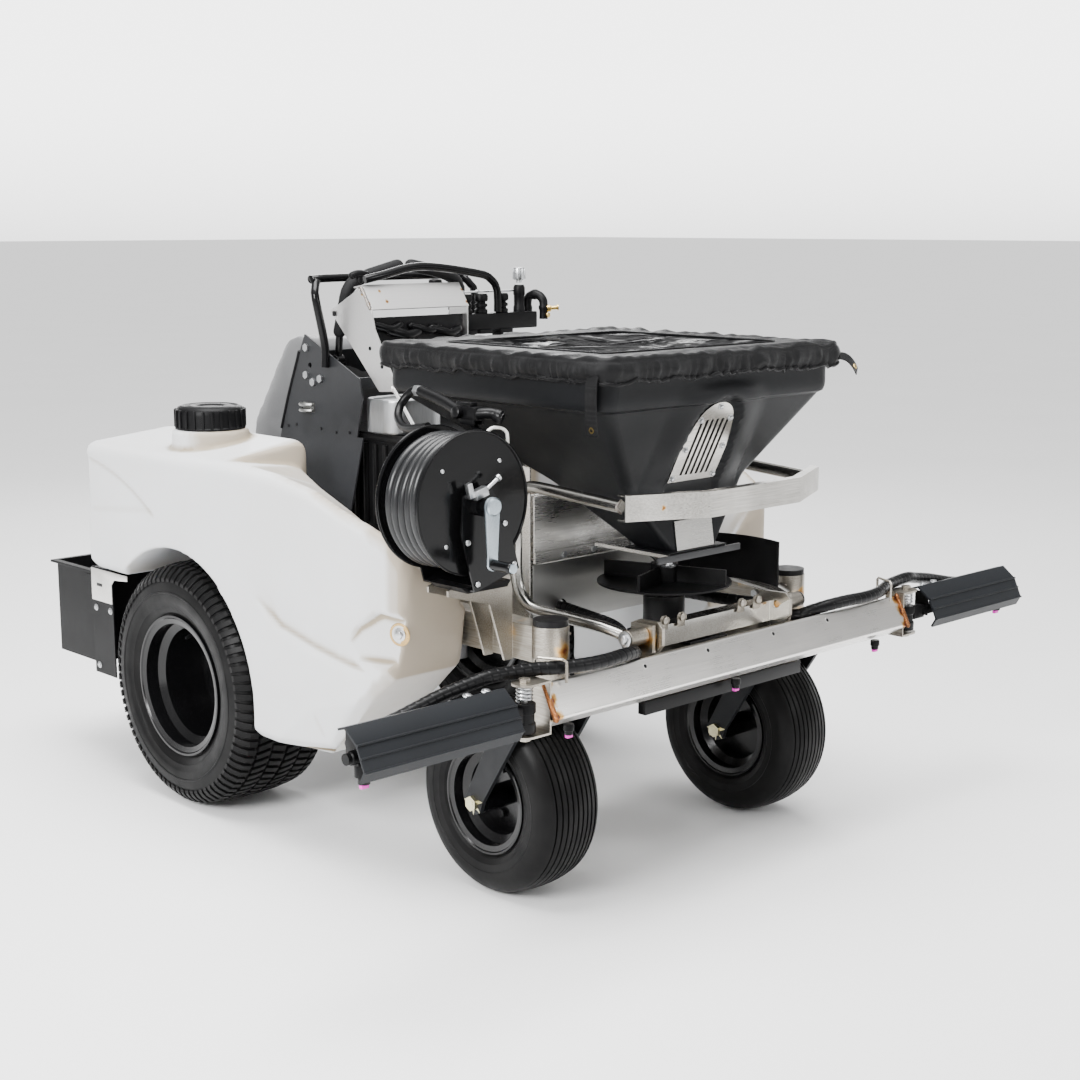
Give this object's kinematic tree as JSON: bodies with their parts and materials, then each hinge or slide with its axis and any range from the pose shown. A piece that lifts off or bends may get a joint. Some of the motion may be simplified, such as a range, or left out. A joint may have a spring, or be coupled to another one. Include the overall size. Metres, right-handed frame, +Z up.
{
  "type": "stand-on spreader sprayer",
  "caption": "Stand-on self-propelled turf spreader sprayer: front hopper with impeller, saddle tanks, spray booms, hose reel, swivel casters and drive wheels.",
  "frame": {"origin": "on the ground, at the middle of the machine's length and width", "axes": "+X to the machine's left along the spray booms, -Y the way the machine faces, +Z up"},
  "size_m": [2.05, 1.958, 1.2813],
  "materials": {
    "raw_stainless": "mill-finish stainless with heat tint at the welds",
    "bright_stainless": "brushed stainless, heat tint at the welds",
    "bronze": "oiled bronze",
    "black_powder_coat": "satin black powder coat",
    "machine_black": "satin black paint",
    "gloss_black": "gloss black powder coat",
    "rim_black": "gloss black paint",
    "fork_grey": "satin dark grey powder coat",
    "boom_grey": "satin dark grey powder coat",
    "tank_plastic": "translucent natural polyethylene",
    "black_plastic": "moulded black plastic",
    "gloss_plastic_black": "gloss black plastic",
    "hopper_plastic": "fine-textured charcoal polyethylene",
    "engine_plastic": "black engine shroud",
    "grey_shroud": "satin silver-grey",
    "cover_fabric": "black coated nylon with a clear window",
    "hose_rubber": "black rubber",
    "grip_foam": "black foam grip",
    "pad_vinyl": "dark grey grained vinyl",
    "tyre_rubber": "black tyre rubber",
    "zinc_plate": "zinc plate",
    "cast_housing": "cast aluminium"
  },
  "bodies": {
    "machine": {"main_frame": "raw_stainless", "kingpin_bushes": "bronze", "front_beam": "bright_stainless", "beam_brackets": "raw_stainless", "platform": "black_powder_coat", "right_tank": "tank_plastic", "left_tank": "tank_plastic", "hopper": "hopper_plastic", "hopper_window": "bright_stainless", "hopper_cover": "cover_fabric", "hopper_stand": "bright_stainless", "front_bumper": "bright_stainless", "bumper_tubes": "raw_stainless", "impeller_motor": "machine_black", "splash_panels": "bright_stainless", "reel_stand": "gloss_black", "spray_gun": "gloss_plastic_black", "control_tower": "black_powder_coat", "operator_pad": "pad_vinyl", "console_bracket": "bright_stainless", "handlebars": "gloss_black", "valve_block": "black_plastic", "engine_block": "engine_plastic", "engine_shroud": "grey_shroud", "drive_belt": "hose_rubber", "hydro_units": "cast_housing", "spray_pump": "black_plastic", "rear_bins": "black_plastic", "spray_lines": "hose_rubber", "fasteners": "zinc_plate"},
    "right_cap": {"right_tank_cap": "black_plastic"},
    "left_cap": {"left_tank_cap": "black_plastic"},
    "gate": {"gate_plate": "raw_stainless"},
    "gate_pull": {"gate_handle": "black_plastic"},
    "impeller": {"impeller": "black_plastic"},
    "reel": {"reel_drum": "gloss_black", "reel_hose": "hose_rubber", "reel_crank": "zinc_plate"},
    "crank_knob": {"reel_knob": "gloss_plastic_black"},
    "trigger": {"gun_trigger": "gloss_plastic_black"},
    "right_steer": {"right_lever": "grip_foam"},
    "left_steer": {"left_lever": "grip_foam"},
    "regulator": {"regulator_knob": "zinc_plate"},
    "engine_shaft": {"engine_pulley": "machine_black"},
    "right_hydro_shaft": {"right_hydro_pulley": "machine_black"},
    "left_hydro_shaft": {"left_hydro_pulley": "machine_black"},
    "right_drive": {"right_drive_wheel": "rim_black", "right_drive_tyre": "tyre_rubber"},
    "left_drive": {"left_drive_wheel": "rim_black", "left_drive_tyre": "tyre_rubber"},
    "right_swivel": {"right_caster_fork": "fork_grey"},
    "left_swivel": {"left_caster_fork": "fork_grey"},
    "right_caster": {"right_caster_rim": "rim_black", "right_caster_tyre": "tyre_rubber"},
    "left_caster": {"left_caster_rim": "rim_black", "left_caster_tyre": "tyre_rubber"},
    "right_boom": {"right_boom_cover": "boom_grey", "right_boom_arm": "black_plastic"},
    "left_boom": {"left_boom_cover": "boom_grey", "left_boom_arm": "black_plastic"}
  },
  "joints": [
    {"name": "right_drive_spin", "type": "hinge", "parent": "machine", "child": "right_drive", "pos_m": [-0.475, 0.282, 0.292], "axis": [1, 0, 0], "continuous": true},
    {"name": "right_caster_swivel", "type": "hinge", "parent": "machine", "child": "right_swivel", "pos_m": [-0.378, -0.759, 0.5], "axis": [0, 0, 1], "continuous": true},
    {"name": "right_caster_spin", "type": "hinge", "parent": "right_swivel", "child": "right_caster", "pos_m": [-0.378, -0.638, 0.203], "axis": [1, 0, 0], "continuous": true},
    {"name": "right_boom_fold", "type": "hinge", "parent": "machine", "child": "right_boom", "pos_m": [-0.605, -0.925, 0.4685], "axis": [0, 0, 1], "range_deg": [-80, 60]},
    {"name": "right_lever_tilt", "type": "hinge", "parent": "machine", "child": "right_steer", "pos_m": [-0.178, 0.185, 1.04], "axis": [1, 0, 0], "range_deg": [-10, 8], "stiffness_Nm_per_rad": 15},
    {"name": "right_cap_lift", "type": "slide", "parent": "machine", "child": "right_cap", "axis": [0, 0, 1], "range_m": [0, 0.06]},
    {"name": "left_drive_spin", "type": "hinge", "parent": "machine", "child": "left_drive", "pos_m": [0.475, 0.282, 0.292], "axis": [1, 0, 0], "continuous": true},
    {"name": "left_caster_swivel", "type": "hinge", "parent": "machine", "child": "left_swivel", "pos_m": [0.378, -0.759, 0.5], "axis": [0, 0, 1], "continuous": true},
    {"name": "left_caster_spin", "type": "hinge", "parent": "left_swivel", "child": "left_caster", "pos_m": [0.378, -0.638, 0.203], "axis": [1, 0, 0], "continuous": true},
    {"name": "left_boom_fold", "type": "hinge", "parent": "machine", "child": "left_boom", "pos_m": [0.605, -0.925, 0.4685], "axis": [0, 0, -1], "range_deg": [-80, 60]},
    {"name": "left_lever_tilt", "type": "hinge", "parent": "machine", "child": "left_steer", "pos_m": [0.178, 0.185, 1.04], "axis": [1, 0, 0], "range_deg": [-10, 8], "stiffness_Nm_per_rad": 15},
    {"name": "left_cap_lift", "type": "slide", "parent": "machine", "child": "left_cap", "axis": [0, 0, 1], "range_m": [0, 0.06]},
    {"name": "gate_pull_slide", "type": "slide", "parent": "machine", "child": "gate_pull", "axis": [0, 0, 1], "range_m": [0, 0.04]},
    {"name": "gate_slide", "type": "slide", "parent": "machine", "child": "gate", "axis": [0, 1, 0], "range_m": [0, 0.06]},
    {"name": "impeller_spin", "type": "hinge", "parent": "machine", "child": "impeller", "pos_m": [0, -0.72, 0.608], "axis": [0, 0, 1], "continuous": true},
    {"name": "reel_spin", "type": "hinge", "parent": "machine", "child": "reel", "pos_m": [-0.53, -0.64, 0.835], "axis": [0, 1, 0], "continuous": true},
    {"name": "crank_knob_spin", "type": "hinge", "parent": "reel", "child": "crank_knob", "pos_m": [-0.53, -0.785, 0.722], "axis": [0, 1, 0], "continuous": true},
    {"name": "trigger_pull", "type": "hinge", "parent": "machine", "child": "trigger", "pos_m": [-0.473, -0.634, 0.982], "axis": [-1, 0, 0], "range_deg": [0, 10], "stiffness_Nm_per_rad": 0.5},
    {"name": "regulator_turn", "type": "hinge", "parent": "machine", "child": "regulator", "pos_m": [0.297, 0.055, 1.24], "axis": [0, 0, 1], "continuous": true},
    {"name": "engine_spin", "type": "hinge", "parent": "machine", "child": "engine_shaft", "pos_m": [0, 0.06, 0.43], "axis": [0, 0, 1], "continuous": true},
    {"name": "right_hydro_spin", "type": "hinge", "parent": "machine", "child": "right_hydro_shaft", "pos_m": [-0.22, 0.25, 0.43], "axis": [0, 0, 1], "continuous": true},
    {"name": "left_hydro_spin", "type": "hinge", "parent": "machine", "child": "left_hydro_shaft", "pos_m": [0.22, 0.25, 0.43], "axis": [0, 0, 1], "continuous": true}
  ],
  "couplings": [
    {"joint": "gate_slide", "follows": "gate_pull_slide", "ratio": 1.5},
    {"joint": "right_hydro_spin", "follows": "engine_spin", "ratio": 0.80645},
    {"joint": "left_hydro_spin", "follows": "engine_spin", "ratio": 0.80645}
  ]
}
